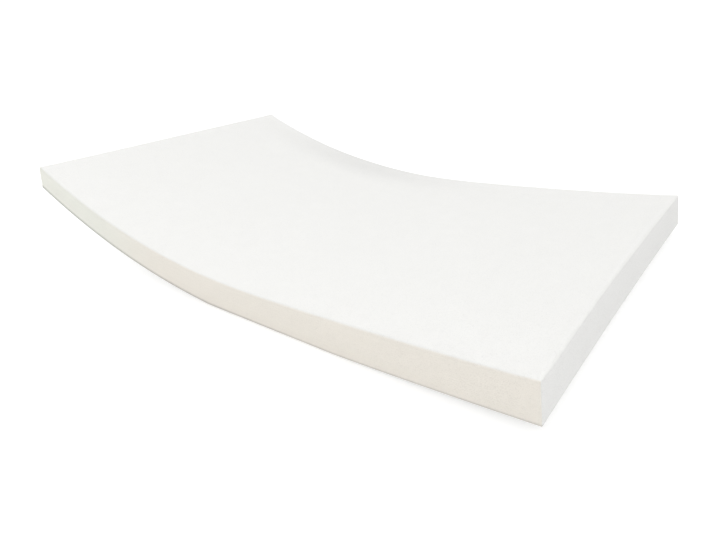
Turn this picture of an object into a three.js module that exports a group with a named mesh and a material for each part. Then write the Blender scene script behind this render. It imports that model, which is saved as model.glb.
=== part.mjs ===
// A one-piece foam mattress. It lies on the middle of its underside and bends up towards its left end (-X).
// Units are millimetres and +Z is up. The underside rests at Z = 0, and the slab is centred over the origin.

import * as THREE from 'three';

// The slab as it is cut: a plain block of flexible foam, its edges a little soft.
const LENGTH = 2000;
const WIDTH = 1000;
const THICKNESS = 97;
const EDGE_RADIUS = 6;

// The saw cuts at the ends are not quite true, and both faults die out further in. The middle of the right
// end is drawn in, and the left end leans, so that its lower edge reaches further than its upper edge.
const END_HOLLOW = 4.5;
const END_LEAN = 15;
const END_FAULT_REACH = 300;

// Lengths from here on are measured along the middle of the thickness from the right end (+X).
// The slab bends only slightly as far as the ease, tighter and tighter over it, and evenly from there on.
const SLIGHT_BEND_RADIUS = 16000;
const EASE_START = 650;
const EASE_LENGTH = 300;
const FULL_BEND_RADIUS = 2750;

// The stretch that it lies on, where its own weight presses the underside flat.
const REST_START = 520;
const REST_END = 1020;

// How finely the surface is divided.
const LONGEST_STEP = 33;
const WIDTH_STEPS = 8;
const EDGE_STEPS = 4;
const SUMS_PER_STEP = 20;
const SHARPEST_CORNER = 0.4;

const FOAM_COLOUR = 0xf0eee7;
const FOAM_ROUGHNESS = 0.95;

// Curvature of the slab's middle line.
function curvature(along) {
  const eased = Math.min(Math.max((along - EASE_START) / EASE_LENGTH, 0), 1);
  return (1 - eased) / SLIGHT_BEND_RADIUS + eased / FULL_BEND_RADIUS;
}

// Walks the middle line from the right end and gives, at each distance asked for, its place and its tilt.
function middleLine(distances) {
  const places = [];
  let along = 0;
  let tilt = 0;
  let x = 0;
  let z = 0;
  for (const target of distances) {
    const step = (target - along) / SUMS_PER_STEP;
    for (let i = 0; i < SUMS_PER_STEP; i += 1) {
      const halfwayTilt = tilt + (curvature(along + step / 4) * step) / 2;
      x -= Math.cos(halfwayTilt) * step;
      z += Math.sin(halfwayTilt) * step;
      tilt += curvature(along + step / 2) * step;
      along += step;
    }
    places.push({ along: target, x, z, tilt });
  }
  return places;
}

// The point of the underside that lies square to the bend under a place on the middle line.
function undersideBelow(place) {
  const halfThickness = THICKNESS / 2;
  return {
    x: place.x - Math.sin(place.tilt) * halfThickness,
    z: place.z - Math.cos(place.tilt) * halfThickness,
  };
}

// Turns and moves the middle line so that the underside meets the floor at both ends of the rest.
function laidDown(places) {
  const start = undersideBelow(places.find((place) => place.along === REST_START));
  const end = undersideBelow(places.find((place) => place.along === REST_END));
  const turn = Math.atan2(end.z - start.z, start.x - end.x);
  const sine = Math.sin(turn);
  const cosine = Math.cos(turn);
  return places.map(({ along, x, z, tilt }) => ({
    along,
    x: (x - start.x) * cosine - (z - start.z) * sine,
    z: (x - start.x) * sine + (z - start.z) * cosine,
    tilt: tilt - turn,
  }));
}

// How a rounded edge turns a quarter circle: how far each point lies from the two faces that it joins.
function quarterRound(radius) {
  const points = [];
  for (let i = 0; i <= EDGE_STEPS; i += 1) {
    const turn = (i / EDGE_STEPS) * (Math.PI / 2);
    points.push({ fromFirst: radius * (1 - Math.cos(turn)), fromSecond: radius * (1 - Math.sin(turn)) });
  }
  return points;
}

// Evenly spaced distances after one mark, as far as the next mark and with it.
function spacedUpTo(mark, next) {
  const count = Math.ceil((next - mark) / LONGEST_STEP);
  return Array.from({ length: count }, (_, i) => mark + ((next - mark) * (i + 1)) / count);
}

// Distances along the slab at which its section is drawn, with the inset that rounds each end's edges.
function stations() {
  const round = quarterRound(EDGE_RADIUS);
  const rightEnd = round.map((point) => ({ along: point.fromFirst, inset: point.fromSecond }));
  const leftEnd = rightEnd.map(({ along, inset }) => ({ along: LENGTH - along, inset })).reverse();
  const marks = [EDGE_RADIUS, REST_START, REST_END, LENGTH - EDGE_RADIUS];
  const distances = marks.slice(1).flatMap((next, i) => spacedUpTo(marks[i], next));
  const between = distances.slice(0, -1).map((along) => ({ along, inset: 0 }));
  return [...rightEnd, ...between, ...leftEnd];
}

// Half of the slab's section, over the top from the near side (-Y) to the far side (+Y).
function upperHalfSection(inset) {
  const halfWidth = WIDTH / 2 - inset;
  const halfThickness = THICKNESS / 2 - inset;
  const radius = Math.max(EDGE_RADIUS - inset, SHARPEST_CORNER);
  const corner = quarterRound(radius).map(({ fromFirst, fromSecond }) => {
    return [fromFirst - halfWidth, halfThickness - fromSecond];
  });
  const nearEdge = [[-halfWidth, 0], ...corner];
  const farEdge = nearEdge.map(([across, up]) => [-across, up]).reverse();
  const top = [];
  for (let i = 1; i < WIDTH_STEPS; i += 1) {
    top.push([(halfWidth - radius) * ((2 * i) / WIDTH_STEPS - 1), halfThickness]);
  }
  return [...nearEdge, ...top, ...farEdge];
}

// The whole section as a closed ring: the upper half, then its mirror image along the underside.
function ringSection(inset) {
  const upper = upperHalfSection(inset);
  const lower = upper.slice(1, -1).reverse();
  return [...upper, ...lower.map(([across, up]) => [across, -up])];
}

// One ring of the slab's surface in its place. Over the rest, the underside is pressed up to the floor.
function placedRing(place, inset) {
  const hollowHere = END_HOLLOW * Math.max(1 - place.along / END_FAULT_REACH, 0);
  const leanHere = END_LEAN * Math.max(1 - (LENGTH - place.along) / END_FAULT_REACH, 0);
  const sunkHere = Math.max(-undersideBelow(place).z, 0);
  const sine = Math.sin(place.tilt);
  const cosine = Math.cos(place.tilt);
  return ringSection(inset).map(([across, up]) => {
    const lowerShare = 0.5 - up / THICKNESS;
    const leftwards = hollowHere * (1 - (across / (WIDTH / 2)) ** 2) + leanHere * lowerShare;
    const x = place.x + sine * up - cosine * leftwards;
    const z = place.z + cosine * up + sine * leftwards + sunkHere * lowerShare;
    return new THREE.Vector3(x, across, z);
  });
}

// Two triangles that fill a quad, or one where two of its corners are the same point.
function quadTriangles(a, b, c, d) {
  const first = a === b ? [] : [a, b, c];
  const second = c === d ? [] : [a, c, d];
  return [...first, ...second];
}

// Joins the rings into one closed surface, with a cap over each end. Faces point outwards.
function closedSurface(rings) {
  const ringSize = rings[0].length;
  const lastRing = (rings.length - 1) * ringSize;
  const triangles = [];
  for (let here = 0; here < lastRing; here += ringSize) {
    for (let i = 0; i < ringSize; i += 1) {
      const next = (i + 1) % ringSize;
      triangles.push(...quadTriangles(here + i, here + next, here + ringSize + next, here + ringSize + i));
    }
  }
  for (let i = 0; i < ringSize / 2; i += 1) {
    const below = (ringSize - i) % ringSize;
    const belowNext = ringSize - i - 1;
    const rightCap = quadTriangles(i, below, belowNext, i + 1);
    const leftCap = quadTriangles(below, i, i + 1, belowNext).map((corner) => corner + lastRing);
    triangles.push(...rightCap, ...leftCap);
  }
  const positions = rings.flat().flatMap((point) => point.toArray());
  const geometry = new THREE.BufferGeometry();
  geometry.setAttribute('position', new THREE.Float32BufferAttribute(positions, 3));
  geometry.setIndex(triangles);
  geometry.computeVertexNormals();
  return geometry;
}

// The foam slab, centred over the origin along its length.
function foamSlabGeometry() {
  const marks = stations();
  const places = laidDown(middleLine(marks.map((mark) => mark.along)));
  const rings = places.map((place, i) => placedRing(place, marks[i].inset));
  const geometry = closedSurface(rings);
  geometry.computeBoundingBox();
  const { min, max } = geometry.boundingBox;
  geometry.translate(-(min.x + max.x) / 2, 0, 0);
  return geometry;
}

const foam = new THREE.MeshStandardMaterial({ color: FOAM_COLOUR, roughness: FOAM_ROUGHNESS, metalness: 0 });

const foamSlab = new THREE.Mesh(foamSlabGeometry(), foam);
foamSlab.name = 'foam_slab';

const mattress = new THREE.Group();
mattress.add(foamSlab);

export default mattress;
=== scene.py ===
"""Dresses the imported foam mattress: one bent slab of open-cell foam, on a pale floor in soft light."""

import logging
import math
from dataclasses import dataclass, field, fields
from enum import Enum

import bpy
import numpy as np
from mathutils import Matrix, Vector


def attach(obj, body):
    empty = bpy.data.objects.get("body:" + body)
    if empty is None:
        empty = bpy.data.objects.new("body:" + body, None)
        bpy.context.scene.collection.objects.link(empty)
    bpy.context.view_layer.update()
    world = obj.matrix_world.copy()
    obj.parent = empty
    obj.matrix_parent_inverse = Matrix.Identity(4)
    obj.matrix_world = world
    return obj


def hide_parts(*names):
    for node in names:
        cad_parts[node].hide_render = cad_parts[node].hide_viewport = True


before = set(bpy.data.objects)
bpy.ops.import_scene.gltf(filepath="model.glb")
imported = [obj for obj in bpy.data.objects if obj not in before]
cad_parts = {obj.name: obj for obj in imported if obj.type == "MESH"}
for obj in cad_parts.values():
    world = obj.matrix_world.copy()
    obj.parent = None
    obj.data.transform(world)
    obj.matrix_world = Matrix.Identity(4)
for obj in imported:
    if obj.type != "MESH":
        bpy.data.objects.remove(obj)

LOG = logging.getLogger("scene")
CUT_PLACE = "cut_place"
WHITE = (1.0, 1.0, 1.0, 1.0)

Colour = tuple[float, float, float]


class FaceOfSlab(Enum):
    """The kinds of face that the saw leaves on a slab."""

    BROAD = "broad"
    LONG_SIDE = "long side"
    END = "end"


@dataclass(frozen=True)
class SlabSizes:
    """The slab as it is cut and as it lies, in metres.

    Lengths along the slab run along the middle of its thickness from its right end, at +X. The names of the
    fields are also the names of the inputs of the nodes that bend the slab.
    """

    length: float = 2.0
    width: float = 1.0
    thickness: float = 0.097
    end_hollow: float = 0.0045
    end_lean: float = 0.015
    end_fault_reach: float = 0.3
    slight_bend_radius: float = 16.0
    ease_start: float = 0.65
    ease_length: float = 0.3
    full_bend_radius: float = 2.75
    rest_start: float = 0.52
    rest_end: float = 1.02


class Field:
    """A number that a node tree works out, used in ordinary arithmetic."""

    def __init__(self, sheet: "NodeSheet", socket: bpy.types.NodeSocket) -> None:
        """Keeps the sheet that the number is on and the output that carries it."""
        self.sheet = sheet
        self.socket = socket

    def __add__(self, other: "Field | float") -> "Field":
        """The sum of this and another number."""
        return self.sheet.math("ADD", self, other)

    def __radd__(self, other: float) -> "Field":
        """The sum of a plain number and this one."""
        return self.sheet.math("ADD", other, self)

    def __sub__(self, other: "Field | float") -> "Field":
        """This less another number."""
        return self.sheet.math("SUBTRACT", self, other)

    def __rsub__(self, other: float) -> "Field":
        """A plain number less this one."""
        return self.sheet.math("SUBTRACT", other, self)

    def __mul__(self, other: "Field | float") -> "Field":
        """The product of this and another number."""
        return self.sheet.math("MULTIPLY", self, other)

    def __truediv__(self, other: "Field | float") -> "Field":
        """This divided by another number."""
        return self.sheet.math("DIVIDE", self, other)

    def __rtruediv__(self, other: float) -> "Field":
        """A plain number divided by this one."""
        return self.sheet.math("DIVIDE", other, self)

    def at_least(self, low: "Field | float") -> "Field":
        """The larger of this and another number."""
        return self.sheet.math("MAXIMUM", self, low)

    def at_most(self, high: "Field | float") -> "Field":
        """The smaller of this and another number."""
        return self.sheet.math("MINIMUM", self, high)

    def size(self) -> "Field":
        """This without its sign."""
        return self.sheet.math("ABSOLUTE", self)


class NodeSheet:
    """A node tree that is being written, with short calls for its nodes."""

    # A Mix node names its inputs alike for every kind of value, so these are the places of the colours'.
    MIX_SHARE = 0
    MIX_FIRST_COLOUR = 6
    MIX_SECOND_COLOUR = 7
    MIX_MIXED_COLOUR = 2

    def __init__(self, tree: bpy.types.NodeTree) -> None:
        """Keeps the tree that is written."""
        self.tree = tree

    def feed(self, socket: bpy.types.NodeSocket, value: object) -> None:
        """Links an input to where its value comes from, or sets it.

        Args:
            socket: the input.
            value: a field, a node's output, or a plain value for the input.
        """
        source = value.socket if isinstance(value, Field) else value
        if isinstance(source, bpy.types.NodeSocket):
            self.tree.links.new(source, socket)
        else:
            socket.default_value = source

    def add(self, kind: str, feeds: dict[str | int, object], **options: object) -> bpy.types.Node:
        """Adds a node.

        Args:
            kind: the node's type.
            feeds: what each named or numbered input gets.
            options: the node's own settings.

        Returns:
            The new node.
        """
        node = self.tree.nodes.new(kind)
        for name, option in options.items():
            setattr(node, name, option)
        for name, value in feeds.items():
            self.feed(node.inputs[name], value)
        return node

    def math(self, operation: str, *values: "Field | float") -> Field:
        """The outcome of one Math node."""
        node = self.add("ShaderNodeMath", dict(enumerate(values)), operation=operation)
        return Field(self, node.outputs[0])

    def split(self, vector: bpy.types.NodeSocket) -> tuple[Field, Field, Field]:
        """Takes a vector apart.

        Args:
            vector: the output that carries it.

        Returns:
            Its three numbers.
        """
        node = self.add("ShaderNodeSeparateXYZ", {0: vector})
        x, y, z = (Field(self, output) for output in node.outputs)
        return x, y, z

    def join(self, x: "Field | float", y: "Field | float", z: "Field | float") -> bpy.types.NodeSocket:
        """A vector of three numbers."""
        return self.add("ShaderNodeCombineXYZ", {0: x, 1: y, 2: z}).outputs[0]

    def between(self, value: Field, start: float, end: float) -> Field:
        """How far a number has come from a start to an end, eased at both.

        Args:
            value: the number.
            start: where it has come no way yet.
            end: where it has come all the way.

        Returns:
            A share from 0 to 1.
        """
        feeds = {"Value": value, "From Min": start, "From Max": end}
        node = self.add("ShaderNodeMapRange", feeds, interpolation_type="SMOOTHSTEP")
        return Field(self, node.outputs[0])

    def mixed(self, share: Field, first: object, second: object) -> bpy.types.NodeSocket:
        """Two colours mixed, with a share of the second."""
        feeds = {self.MIX_SHARE: share, self.MIX_FIRST_COLOUR: first, self.MIX_SECOND_COLOUR: second}
        return self.add("ShaderNodeMix", feeds, data_type="RGBA").outputs[self.MIX_MIXED_COLOUR]


@dataclass(frozen=True)
class SawnBlock:
    """A straight block with rounded edges and corners, finely divided. Its right end is at X = 0.

    The lower and the upright edges are crisp. The upper edges are softer, except near the corners.
    """

    sizes: SlabSizes
    lower_radius: float = 0.003
    upper_radius: float = 0.008
    corner_reach: float = 0.05
    step: float = 0.0095
    edge_steps: int = 6

    def marks(self, low: float, high: float, low_radius: float) -> np.ndarray:
        """Where grid lines cross one axis, so that those over a rounded edge turn by equal angles.

        Args:
            low: the block's lower face on this axis.
            high: its upper face, which has the upper radius.
            low_radius: the radius at the lower face.

        Returns:
            The places of the grid lines, in order.
        """
        turned = np.tan(np.linspace(0, math.pi / 4, self.edge_steps + 1)[1:])
        flat_low, flat_high = low + low_radius, high - self.upper_radius
        flat = np.linspace(flat_low, flat_high, math.ceil((flat_high - flat_low) / self.step) + 1)
        over_low = (flat_low - low_radius * turned)[::-1]
        return np.concatenate([over_low, flat, flat_high + self.upper_radius * turned])

    def radius_at(self, boxed: np.ndarray, low: np.ndarray, high: np.ndarray) -> np.ndarray:
        """The edges' radius beside each point, which grows towards the top and away from the corners.

        Args:
            boxed: points on the block as it would be with sharp edges.
            low: the block's lowest corner.
            high: its highest corner.

        Returns:
            One radius for each point.
        """
        from_corner = np.minimum(boxed - low, high - boxed)[:, :2].max(axis=1, keepdims=True)
        away = np.clip(from_corner / self.corner_reach, 0, 1)
        raised = np.clip(boxed[:, 2:] / (high[2] - self.upper_radius), 0, 1)
        return self.lower_radius + (self.upper_radius - self.lower_radius) * away * raised

    def mesh(self) -> bpy.types.Mesh:
        """Makes the block's surface.

        Returns:
            One closed mesh of quads.
        """
        half_width, half_thickness = self.sizes.width / 2, self.sizes.thickness / 2
        low = np.array([-self.sizes.length, -half_width, -half_thickness])
        high = np.array([0, half_width, half_thickness])
        low_radii = (self.upper_radius, self.upper_radius, self.lower_radius)
        marks = [self.marks(*ends) for ends in zip(low, high, low_radii)]
        grid = np.indices([len(lines) for lines in marks])
        outermost = np.array([len(lines) - 1 for lines in marks]).reshape(3, 1, 1, 1)
        on_surface = ((grid == 0) | (grid == outermost)).any(axis=0)
        numbers = np.zeros(on_surface.shape, dtype=int)
        numbers[on_surface] = np.arange(on_surface.sum())
        boxed = np.stack([lines[places[on_surface]] for lines, places in zip(marks, grid)], axis=1)
        radius = self.radius_at(boxed, low, high)
        inner = np.clip(boxed, low + radius, high - radius)
        outward = boxed - inner
        outward *= radius / np.linalg.norm(outward, axis=1, keepdims=True)
        mesh = bpy.data.meshes.new("sawn_block")
        mesh.from_pydata((inner + outward).tolist(), [], self.quads(numbers).tolist())
        mesh.shade_smooth()
        return mesh

    def quads(self, numbers: np.ndarray) -> np.ndarray:
        """The quads of the six sides, facing outwards.

        Args:
            numbers: the vertex number at each place of the grid that is on the surface.

        Returns:
            Four vertex numbers for each quad.
        """
        sides = []
        for axis in range(3):
            for last in (False, True):
                side = np.take(numbers, -1 if last else 0, axis=axis)
                corners = [side[:-1, :-1], side[1:, :-1], side[1:, 1:], side[:-1, 1:]]
                quads = np.stack(corners, axis=-1).reshape(-1, 4)
                faces_out = last != (axis == 1)
                sides.append(quads if faces_out else quads[:, ::-1])
        return np.concatenate(sides)


@dataclass(frozen=True)
class Unevenness:
    """How far the faces of a slab stray from flat, in metres, and over what distance.

    The detail is how many finer layers the strays have. The upper near corner of the right end also strays
    outwards. The names of these fields are inputs of the nodes too.
    """

    depth: float = 0.0022
    pitch: float = 0.28
    seed: float = 4.0
    detail: float = 2.0
    corner_stray: float = 0.006


@dataclass(frozen=True)
class LinePlace:
    """Where a point of the bent middle line lies, and how steeply the line rises towards the left end."""

    x: Field
    z: Field
    tilt: Field


class SlabBend:
    """Geometry nodes that bend a straight block by the slab's rule and lay it on the floor."""

    STEPS = 2000

    def __init__(self, sizes: SlabSizes, unevenness: Unevenness) -> None:
        """Writes the nodes.

        Args:
            sizes: the slab's sizes and the rule of its bend.
            unevenness: how its faces stray.
        """
        self.sizes = sizes
        self.unevenness = unevenness
        self.tree = bpy.data.node_groups.new("slab_bend", "GeometryNodeTree")
        self.tree.is_modifier = True
        self.sheet = NodeSheet(self.tree)
        self.sockets: dict[str, bpy.types.NodeTreeInterfaceSocket] = {}
        self.settings: dict[str, object] = {}
        self.write()

    def declare(self, name: str, kind: str, value: object) -> None:
        """Adds a named input to the nodes.

        Args:
            name: the input's name.
            kind: its type of socket.
            value: what it is set to when the nodes are used.
        """
        socket = self.tree.interface.new_socket(name=name, in_out="INPUT", socket_type=kind)
        self.sockets[name] = socket
        self.settings[name] = value

    def tilt(self, along: Field) -> Field:
        """How much the middle line has turned between the right end and a place along it.

        Args:
            along: the place's distance from the right end.

        Returns:
            The turn, as the sum of each stretch over its radius. Over the ease, the share that is fully bent
            grows evenly, so that its sum grows with the square.
        """
        given = self.given
        past = along - given["ease_start"]
        eased = (past / given["ease_length"]).at_least(0.0).at_most(1.0)
        after_ease = (past - given["ease_length"]).at_least(0.0)
        fully_bent = eased * eased * given["ease_length"] * 0.5 + after_ease
        slightly_bent = along - fully_bent
        return slightly_bent / given["slight_bend_radius"] + fully_bent / given["full_bend_radius"]

    def summed(self, value: Field) -> bpy.types.NodeSocket:
        """The sum of a field over the points of the middle line before each point."""
        return self.sheet.add("GeometryNodeAccumulateField", {"Value": value}).outputs["Trailing"]

    def walk(self) -> None:
        """Sums small steps along the middle line, from its right end."""
        sheet = self.sheet
        self.step = self.given["length"] / self.given["steps"]
        index = Field(sheet, sheet.add("GeometryNodeInputIndex", {}).outputs[0])
        midway = self.tilt((index + 0.5) * self.step)
        self.x_sums = self.summed(sheet.math("COSINE", midway) * self.step * -1.0)
        self.z_sums = self.summed(sheet.math("SINE", midway) * self.step)
        self.line = sheet.add("GeometryNodeMeshLine", {"Count": self.given["steps"] + 1.0}).outputs[0]

    def sampled(self, sums: bpy.types.NodeSocket, index: Field) -> Field:
        """What a sum has come to at one point of the middle line."""
        feeds = {"Geometry": self.line, "Value": sums, "Index": index}
        return Field(self.sheet, self.sheet.add("GeometryNodeSampleIndex", feeds, clamp=True).outputs[0])

    def middle_at(self, along: Field) -> LinePlace:
        """Where the middle line has come to, before it is laid down.

        Args:
            along: a distance from the right end.

        Returns:
            The line's place there.
        """
        sheet = self.sheet
        index = sheet.math("FLOOR", along / self.step).at_least(0.0)
        walked = index * self.step
        beyond = along - walked
        midway = self.tilt(walked + beyond * 0.5)
        x = self.sampled(self.x_sums, index) - sheet.math("COSINE", midway) * beyond
        z = self.sampled(self.z_sums, index) + sheet.math("SINE", midway) * beyond
        return LinePlace(x, z, self.tilt(along))

    def underside_below(self, place: LinePlace) -> tuple[Field, Field]:
        """Finds the underside square to the bend under a place.

        Args:
            place: a place on the middle line.

        Returns:
            X and Z of the underside there.
        """
        half = self.given["thickness"] * 0.5
        x = place.x - self.sheet.math("SINE", place.tilt) * half
        z = place.z - self.sheet.math("COSINE", place.tilt) * half
        return x, z

    def laid_down(self, place: LinePlace) -> LinePlace:
        """Turns and lowers the slab until both ends of its rest meet the floor.

        Args:
            place: a place on the middle line before that.

        Returns:
            The same place after it.
        """
        sheet = self.sheet
        start_x, start_z = self.underside_below(self.middle_at(self.given["rest_start"]))
        end_x, end_z = self.underside_below(self.middle_at(self.given["rest_end"]))
        turn = sheet.math("ARCTAN2", end_z - start_z, start_x - end_x)
        sine, cosine = sheet.math("SINE", turn), sheet.math("COSINE", turn)
        x, z = place.x - start_x, place.z - start_z
        return LinePlace(x * cosine - z * sine, x * sine + z * cosine, place.tilt - turn)

    def bent(self, position: bpy.types.NodeSocket) -> bpy.types.NodeSocket:
        """Bends the straight block and lays it down, with the faults of its ends.

        Args:
            position: each point's place on the straight block.

        Returns:
            Where each point goes.
        """
        sheet, given = self.sheet, self.given
        x, across, up = sheet.split(position)
        along = x * -1.0
        place = self.laid_down(self.middle_at(along))
        sine, cosine = sheet.math("SINE", place.tilt), sheet.math("COSINE", place.tilt)
        sunk = (self.underside_below(place)[1] * -1.0).at_least(0.0)
        lower_share = 0.5 - up / given["thickness"]
        # From -1 at the near side to 1 at the far side.
        sideways = across / given["width"] * 2.0
        near_right = (1.0 - along / given["end_fault_reach"]).at_least(0.0)
        near_left = (1.0 - (given["length"] - along) / given["end_fault_reach"]).at_least(0.0)
        hollow = given["end_hollow"] * near_right * (1.0 - sideways * sideways)
        near_side = (sideways * -1.0).at_least(0.0)
        corner_out = given["corner_stray"] * near_right * near_side * near_side * (1.0 - lower_share)
        leftwards = hollow + given["end_lean"] * near_left * lower_share - corner_out
        bent_x = place.x + sine * up - cosine * leftwards
        bent_z = place.z + cosine * up + sine * leftwards + sunk * lower_share
        return sheet.join(bent_x, across, bent_z)

    def strayed(self, position: bpy.types.NodeSocket) -> bpy.types.NodeSocket:
        """Makes the faces uneven. The underside hardly strays.

        Args:
            position: each point's place on the straight block.

        Returns:
            How far each point strays, along its normal.
        """
        sheet, given = self.sheet, self.given
        scale = 1.0 / given["pitch"]
        feeds = {"Vector": position, "W": given["seed"], "Scale": scale, "Detail": given["detail"]}
        noise = sheet.add("ShaderNodeTexNoise", feeds, noise_dimensions="4D").outputs[0]
        up = sheet.split(position)[2]
        upper_share = up / given["thickness"] + 0.5
        # The noise lies from 0 to 1, and is stretched to stray from -1 to 1.
        depth = (Field(sheet, noise) - 0.5) * given["depth"] * 2.0 * upper_share.at_least(0.0)
        normal = sheet.add("GeometryNodeInputNormal", {}).outputs[0]
        feeds = {0: normal, "Scale": depth}
        return sheet.add("ShaderNodeVectorMath", feeds, operation="SCALE").outputs[0]

    def centred(self, geometry: bpy.types.NodeSocket, position: bpy.types.NodeSocket) -> bpy.types.Node:
        """Centres the slab over the origin along its length, and keeps it out of the floor.

        Args:
            geometry: the bent slab.
            position: each point's place on it.

        Returns:
            The node that moves the points.
        """
        sheet = self.sheet
        box = sheet.add("GeometryNodeBoundBox", {0: geometry})
        middle = (sheet.split(box.outputs["Min"])[0] + sheet.split(box.outputs["Max"])[0]) * 0.5
        x, y, z = sheet.split(position)
        feeds = {"Geometry": geometry, "Position": sheet.join(x - middle, y, z.at_least(0.0))}
        return sheet.add("GeometryNodeSetPosition", feeds)

    def write(self) -> None:
        """Writes the whole node group."""
        tree, sheet = self.tree, self.sheet
        tree.interface.new_socket(name="Geometry", in_out="INPUT", socket_type="NodeSocketGeometry")
        tree.interface.new_socket(name="Geometry", in_out="OUTPUT", socket_type="NodeSocketGeometry")
        for source in (self.sizes, self.unevenness):
            for size in fields(source):
                self.declare(size.name, "NodeSocketFloat", getattr(source, size.name))
        self.declare("steps", "NodeSocketInt", self.STEPS)
        self.declare("foam", "NodeSocketMaterial", None)
        entry = tree.nodes.new("NodeGroupInput")
        self.given = {name: Field(sheet, entry.outputs[name]) for name in self.sockets}
        self.walk()
        position = sheet.add("GeometryNodeInputPosition", {}).outputs[0]
        feeds = {"Geometry": entry.outputs["Geometry"], "Name": CUT_PLACE, "Value": position}
        kept = sheet.add("GeometryNodeStoreNamedAttribute", feeds, data_type="FLOAT_VECTOR")
        feeds = {"Geometry": kept.outputs[0], "Offset": self.strayed(position)}
        uneven = sheet.add("GeometryNodeSetPosition", feeds)
        feeds = {"Geometry": uneven.outputs[0], "Position": self.bent(position)}
        curved = sheet.add("GeometryNodeSetPosition", feeds)
        lying = self.centred(curved.outputs[0], position)
        real = sheet.add("GeometryNodeRealizeInstances", {0: lying.outputs[0]})
        feeds = {"Geometry": real.outputs[0], "Material": self.given["foam"]}
        dressed = sheet.add("GeometryNodeSetMaterial", feeds)
        leaving = tree.nodes.new("NodeGroupOutput")
        tree.links.new(dressed.outputs[0], leaving.inputs[0])

    def applied(self, block: bpy.types.Mesh, name: str, foam: bpy.types.Material) -> bpy.types.Object:
        """Bends a block and makes a plain object of the outcome.

        Args:
            block: the straight block's mesh.
            name: the new object's name.
            foam: the material that the nodes set.

        Returns:
            An object with a plain mesh and no modifier.
        """
        straight = bpy.data.objects.new("straight_block", block)
        bpy.context.scene.collection.objects.link(straight)
        modifier = straight.modifiers.new("slab_bend", "NODES")
        modifier.node_group = self.tree
        for key, value in {**self.settings, "foam": foam}.items():
            modifier[self.sockets[key].identifier] = value
        bpy.context.view_layer.update()
        evaluated = straight.evaluated_get(bpy.context.evaluated_depsgraph_get())
        mesh = bpy.data.meshes.new_from_object(evaluated)
        mesh.name = name
        bpy.data.objects.remove(straight)
        piece = bpy.data.objects.new(name, mesh)
        bpy.context.scene.collection.objects.link(piece)
        return piece


@dataclass(frozen=True)
class Marking:
    """One kind of mark in the foam: its pitch in metres, its share of shade and its relief in metres.

    Marks of soft noise also have a detail, which is how many finer layers the noise has.
    """

    pitch: float
    shade: float
    relief: float
    detail: float = 0.0


@dataclass(frozen=True)
class Pits:
    """The shape of pits: a pit's radius as a share of the pitch, and the share of places that have one."""

    radius: float
    share: float


@dataclass(frozen=True)
class PaintedShadowLine:
    """Painted shadow: a grey line along the lower edge of the long sides, taller and darker towards the left
    end.
    """

    right_height: float = 0.009
    left_height: float = 0.021
    right_shade: float = 0.33
    left_shade: float = 0.46
    growth: tuple[float, float] = (0.3, 1.9)


@dataclass(frozen=True)
class PaintedShadePatch:
    """A soft patch of painted shade in the bend, at the far edge, where the top is darker. Sizes are in
    metres.
    """

    middle: float = 1.32
    reach: float = 0.75
    start: float = 0.3
    end: float = 0.45
    shade: float = 0.085


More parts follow.
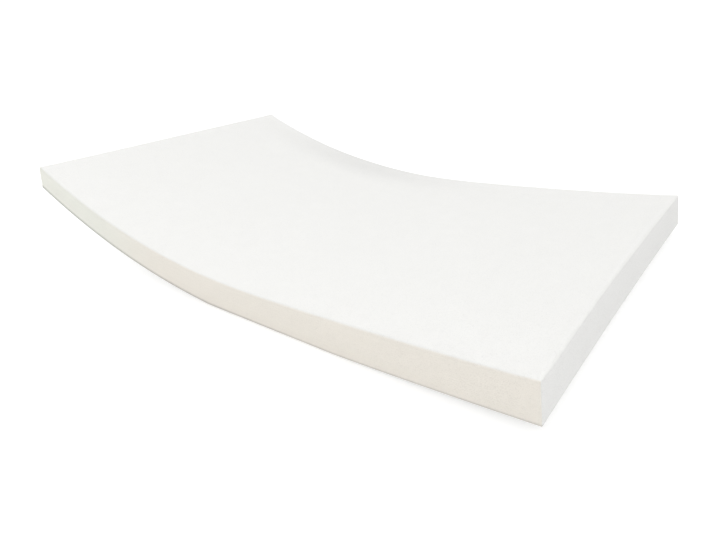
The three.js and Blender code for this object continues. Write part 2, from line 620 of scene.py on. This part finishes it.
@dataclass(frozen=True)
class FoamFinish:
    """Open-cell foam with sawn faces. Sizes are in metres, and shades are shares of the colour.

    The left side fade is from one distance from the right end to another. The blends are how far from an
    edge one face's colour passes into the other's.
    """

    sizes: SlabSizes
    # The ends are set darker than the broad faces, as painted shade.
    colours: dict[FaceOfSlab, Colour] = field(
        default_factory=lambda: {
            FaceOfSlab.BROAD: (0.873, 0.871, 0.853),
            FaceOfSlab.LONG_SIDE: (0.86, 0.82, 0.75),
            FaceOfSlab.END: (0.787, 0.785, 0.771),
        }
    )
    left_side_colour: Colour = (0.835, 0.838, 0.772)
    left_side_fade: tuple[float, float] = (1.2, 1.7)
    unmarked_shade: float = 1.036
    side_blend: float = 0.005
    end_blend: float = 0.002
    # The cells and pinholes are darker in their pits: painted shade in the hollows, besides their relief.
    cells: Marking = Marking(pitch=0.0017, shade=-0.12, relief=-0.0006)
    cell_pits: Pits = Pits(radius=0.7, share=0.8)
    pinholes: Marking = Marking(pitch=0.014, shade=-0.18, relief=-0.001)
    pinhole_pits: Pits = Pits(radius=0.12, share=0.3)
    strands: Marking = Marking(pitch=0.0009, shade=0.075, relief=0.0005, detail=2.0)
    clouds: Marking = Marking(pitch=0.05, shade=0.03, relief=0.001, detail=3.0)
    saw_lines: Marking = Marking(pitch=0.0035, shade=0.04, relief=0.0008, detail=1.0)
    saw_line_length: float = 0.25
    noise_roughness: float = 0.6
    painted_shadow: PaintedShadowLine = PaintedShadowLine()
    shade_patch: PaintedShadePatch = PaintedShadePatch()
    bump_strength: float = 0.8
    bump_distance: float = 1.0
    roughness: float = 0.95
    gloss: float = 0.12

    def noise(self, sheet: NodeSheet, place: bpy.types.NodeSocket, mark: Marking) -> Field:
        """Makes the pattern of a soft mark.

        Args:
            sheet: the material's nodes.
            place: where each point is on the straight block.
            mark: the kind of mark.

        Returns:
            Soft noise that strays up to a half either way, in lumps of about one pitch.
        """
        feeds = {
            "Vector": place,
            "Scale": 1 / mark.pitch,
            "Detail": mark.detail,
            "Roughness": self.noise_roughness,
        }
        return Field(sheet, sheet.add("ShaderNodeTexNoise", feeds).outputs[0]) - 0.5

    def pitted(self, sheet: NodeSheet, place: bpy.types.NodeSocket, mark: Marking, pits: Pits) -> Field:
        """Makes a pattern of round pits.

        Args:
            sheet: the material's nodes.
            place: where each point is on the straight block.
            mark: the kind of mark.
            pits: the pits' shape.

        Returns:
            Their depth, from 0 to 1.
        """
        node = sheet.add("ShaderNodeTexVoronoi", {"Vector": place, "Scale": 1 / mark.pitch})
        near = 1.0 - sheet.between(Field(sheet, node.outputs["Distance"]), 0.0, pits.radius)
        chance = sheet.split(node.outputs["Color"])[0]
        return near * sheet.between(chance, 1.0 - pits.share, 1.0)

    def face_colour(
        self, sheet: NodeSheet, at_side: Field, at_end: Field, along: Field
    ) -> bpy.types.NodeSocket:
        """Blends the colours of the kinds of face where two meet.

        Args:
            sheet: the material's nodes.
            at_side: how far a point is on a long side, from 0 to 1.
            at_end: how far it is on an end, from 0 to 1.
            along: its distance from the right end.

        Returns:
            The colour of each point.
        """
        at_left = sheet.between(along, *self.left_side_fade)
        broad, side, end = ((*self.colours[face], 1.0) for face in FaceOfSlab)
        left_side = (*self.left_side_colour, 1.0)
        side = sheet.mixed(at_left, side, left_side)
        return sheet.mixed(at_end, sheet.mixed(at_side, broad, side), end)

    def painted_shadow_depth(self, sheet: NodeSheet, along: Field, up: Field) -> Field:
        """Makes the painted shadow line along the lower edge.

        Args:
            sheet: the material's nodes.
            along: a point's distance from the right end.
            up: its height over the middle of the thickness.

        Returns:
            How much the painted shadow darkens the foam, as a share of its colour.
        """
        painted_shadow = self.painted_shadow
        grown = sheet.between(along, *painted_shadow.growth)
        height = painted_shadow.right_height + grown * (painted_shadow.left_height - painted_shadow.right_height)
        shade = painted_shadow.right_shade + grown * (painted_shadow.left_shade - painted_shadow.right_shade)
        return (1.0 - sheet.between((up + self.sizes.thickness / 2) / height, 0.0, 1.0)) * shade

    def shade_patch_depth(self, sheet: NodeSheet, along: Field, across: Field) -> Field:
        """Makes the patch of painted shade in the bend.

        Args:
            sheet: the material's nodes.
            along: a point's distance from the right end.
            across: how far it is towards the far side of the slab's middle.

        Returns:
            How much the painted shade darkens the foam, as a share of its colour.
        """
        patch = self.shade_patch
        off_middle = (along - patch.middle).size()
        beside = 1.0 - sheet.between(off_middle, 0.0, patch.reach)
        return sheet.between(across, patch.start, patch.end) * beside * patch.shade

    def material(self) -> bpy.types.Material:
        """Makes the foam's material.

        Returns:
            A material whose patterns stay where they were on the straight block.
        """
        material = bpy.data.materials.new("foam")
        material.use_nodes = True
        shader = material.node_tree.nodes["Principled BSDF"]
        shader.inputs["Roughness"].default_value = self.roughness
        shader.inputs["Specular IOR Level"].default_value = self.gloss
        sheet = NodeSheet(material.node_tree)
        place = sheet.add("ShaderNodeAttribute", {}, attribute_name=CUT_PLACE).outputs["Vector"]
        x, across, up = sheet.split(place)
        along = x * -1.0
        from_end = along.at_most(self.sizes.length - along)
        from_side = self.sizes.width / 2 - across.size()
        at_end = 1.0 - sheet.between(from_end, 0.0, self.end_blend)
        at_side = 1.0 - sheet.between(from_side, 0.0, self.side_blend)
        drawn_out = sheet.join(x * (self.saw_lines.pitch / self.saw_line_length), across, up)
        marks = [
            (self.strands, self.noise(sheet, place, self.strands)),
            (self.clouds, self.noise(sheet, place, self.clouds)),
            (self.saw_lines, self.noise(sheet, drawn_out, self.saw_lines) * at_side.at_least(at_end)),
            (self.cells, self.pitted(sheet, place, self.cells, self.cell_pits)),
            (self.pinholes, self.pitted(sheet, place, self.pinholes, self.pinhole_pits)),
        ]
        # Painted shadow along the lower edge of the long sides.
        shade = self.unmarked_shade - self.painted_shadow_depth(sheet, along, up) * at_side
        # Painted shade in the bend, at the far edge.
        shade = shade - self.shade_patch_depth(sheet, along, across)
        height: Field | float = 0.0
        for mark, pattern in marks:
            shade = shade + pattern * mark.shade
            height = pattern * mark.relief + height
        colour = self.face_colour(sheet, at_side, at_end, along)
        shaded = sheet.add("ShaderNodeVectorMath", {0: colour, "Scale": shade}, operation="SCALE")
        sheet.feed(shader.inputs["Base Color"], shaded.outputs[0])
        feeds = {"Height": height, "Distance": self.bump_distance, "Strength": self.bump_strength}
        bump = sheet.add("ShaderNodeBump", feeds)
        sheet.feed(shader.inputs["Normal"], bump.outputs[0])
        return material


@dataclass
class FoamSlab:
    """The mattress: one slab of foam."""

    sizes: SlabSizes = field(default_factory=SlabSizes)
    unevenness: Unevenness = field(default_factory=Unevenness)

    def build(self) -> None:
        """Makes the slab, dresses it and puts it in the place of its solid."""
        foam = FoamFinish(self.sizes).material()
        bend = SlabBend(self.sizes, self.unevenness)
        slab = bend.applied(SawnBlock(self.sizes).mesh(), "mattress_slab", foam)
        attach(slab, "root")
        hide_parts("foam_slab")
        LOG.info("%s: %d faces", slab.name, len(slab.data.polygons))


@dataclass
class Studio:
    """A plain pale floor lit softly from all round, with a white backdrop.

    Places and sizes are in metres and the lamp's power in watts. The horizon and overhead fades are from one
    height in the sky to another, as sines of its elevation. The glow fade is from one X to another.
    """

    floor_size: float = 400.0
    floor_colour: Colour = (0.8, 0.8, 0.8)
    floor_roughness: float = 1.0
    floor_gloss: float = 0.0
    left_glow: float = 0.362
    right_glow: float = 0.32
    glow_fade: tuple[float, float] = (-0.75, -0.1)
    backdrop_light: float = 1.1
    horizon_light: float = 0.716
    overhead_light: float = 1.11
    far_light: float = 0.5
    end_light: float = 0.847
    horizon_fade: tuple[float, float] = (0.1, 0.2)
    overhead_fade: tuple[float, float] = (0.5, 0.75)
    lamp_place: tuple[float, float, float] = (0.1, -1.3, 1.0)
    lamp_aim: tuple[float, float, float] = (0.1, -0.3, 0.1)
    lamp_length: float = 3.6
    lamp_height: float = 0.6
    lamp_power: float = 3.16

    def floor(self) -> None:
        """Makes the floor, which glows a little, as a lit table does."""
        half = self.floor_size / 2
        corners = [(-half, -half, 0), (half, -half, 0), (half, half, 0), (-half, half, 0)]
        mesh = bpy.data.meshes.new("floor")
        mesh.from_pydata(corners, [], [(0, 1, 2, 3)])
        floor = bpy.data.objects.new("floor", mesh)
        bpy.context.scene.collection.objects.link(floor)
        material = bpy.data.materials.new("floor")
        material.use_nodes = True
        shader = material.node_tree.nodes["Principled BSDF"]
        shader.inputs["Base Color"].default_value = (*self.floor_colour, 1.0)
        shader.inputs["Roughness"].default_value = self.floor_roughness
        shader.inputs["Specular IOR Level"].default_value = self.floor_gloss
        shader.inputs["Emission Color"].default_value = WHITE
        sheet = NodeSheet(material.node_tree)
        x = sheet.split(sheet.add("ShaderNodeTexCoord", {}).outputs["Object"])[0]
        to_right = sheet.between(x, *self.glow_fade)
        glow = self.left_glow + to_right * (self.right_glow - self.left_glow)
        sheet.feed(shader.inputs["Emission Strength"], glow)
        mesh.materials.append(material)

    def sky(self) -> None:
        """Lights the scene from all round, most from overhead, and puts a white backdrop behind it."""
        world = bpy.data.worlds.new("studio")
        bpy.context.scene.world = world
        world.use_nodes = True
        sheet = NodeSheet(world.node_tree)
        direction = sheet.add("ShaderNodeTexCoord", {}).outputs["Generated"]
        right, far, height = sheet.split(direction)
        above_horizon = sheet.between(height, *self.horizon_fade)
        overhead = sheet.between(height, *self.overhead_fade)
        strength = (1.0 - above_horizon) * self.horizon_light
        strength = strength + overhead * self.overhead_light
        off_floor = sheet.between(height, 0.0, self.horizon_fade[1])
        sides = far.at_least(0.0) * self.far_light + right * right * self.end_light
        strength = strength + off_floor * sides
        seen = Field(sheet, sheet.add("ShaderNodeLightPath", {}).outputs["Is Camera Ray"])
        strength = strength + seen * (self.backdrop_light - strength)
        background = world.node_tree.nodes["Background"]
        background.inputs["Color"].default_value = WHITE
        sheet.feed(background.inputs["Strength"], strength)

    def lamp(self) -> None:
        """Hangs a long lamp in front of the near side."""
        light = bpy.data.lights.new("near_lamp", "AREA")
        light.shape = "RECTANGLE"
        light.size = self.lamp_length
        light.size_y = self.lamp_height
        light.energy = self.lamp_power
        lamp = bpy.data.objects.new("near_lamp", light)
        lamp.location = self.lamp_place
        aim = Vector(self.lamp_aim) - lamp.location
        lamp.rotation_euler = aim.to_track_quat("-Z", "Y").to_euler()
        lamp.visible_camera = False
        bpy.context.scene.collection.objects.link(lamp)

    def build(self) -> None:
        """Makes the floor and the lights."""
        self.floor()
        self.sky()
        self.lamp()
        bpy.context.scene.view_settings.view_transform = "Standard"
        LOG.info("studio: floor, sky and one lamp")


@dataclass
class PhotoCamera:
    """The camera of the photograph.

    Its place and far end are in metres, its angles in radians, its sensor's width in millimetres, and its
    other measures in pixels of the photograph.
    """

    place: tuple[float, float, float] = (1.30427, -1.11582, 0.68226)
    turn: float = 0.628617
    dip: float = 0.394598
    roll: float = -0.091734
    focal_length: float = 510.63
    image_width: float = 716.0
    axis_right: float = 98.60
    axis_down: float = -36.51
    sensor_width: float = 36.0
    far_end: float = 500.0

    def build(self) -> None:
        """Makes the camera and makes it the scene's own."""
        forward = Vector(
            (
                -math.sin(self.turn) * math.cos(self.dip),
                math.cos(self.turn) * math.cos(self.dip),
                -math.sin(self.dip),
            )
        )
        right = Vector((math.cos(self.turn), math.sin(self.turn), 0))
        up = right.cross(forward)
        rolled_right = right * math.cos(self.roll) + up * math.sin(self.roll)
        rolled_up = up * math.cos(self.roll) - right * math.sin(self.roll)
        data = bpy.data.cameras.new("camera")
        data.sensor_width = self.sensor_width
        data.lens = self.focal_length * self.sensor_width / self.image_width
        data.shift_x = -self.axis_right / self.image_width
        data.shift_y = self.axis_down / self.image_width
        data.clip_end = self.far_end
        camera = bpy.data.objects.new("camera", data)
        axes = Matrix((rolled_right, rolled_up, -forward)).transposed()
        camera.matrix_world = Matrix.Translation(self.place) @ axes.to_4x4()
        bpy.context.scene.collection.objects.link(camera)
        bpy.context.scene.camera = camera
        LOG.info("camera: %.1f mm lens", data.lens)


def main() -> None:
    """Builds the slab, the studio and the camera."""
    logging.basicConfig(level=logging.INFO, format="%(message)s")
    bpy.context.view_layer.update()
    FoamSlab().build()
    Studio().build()
    PhotoCamera().build()


if __name__ == "__main__":
    main()
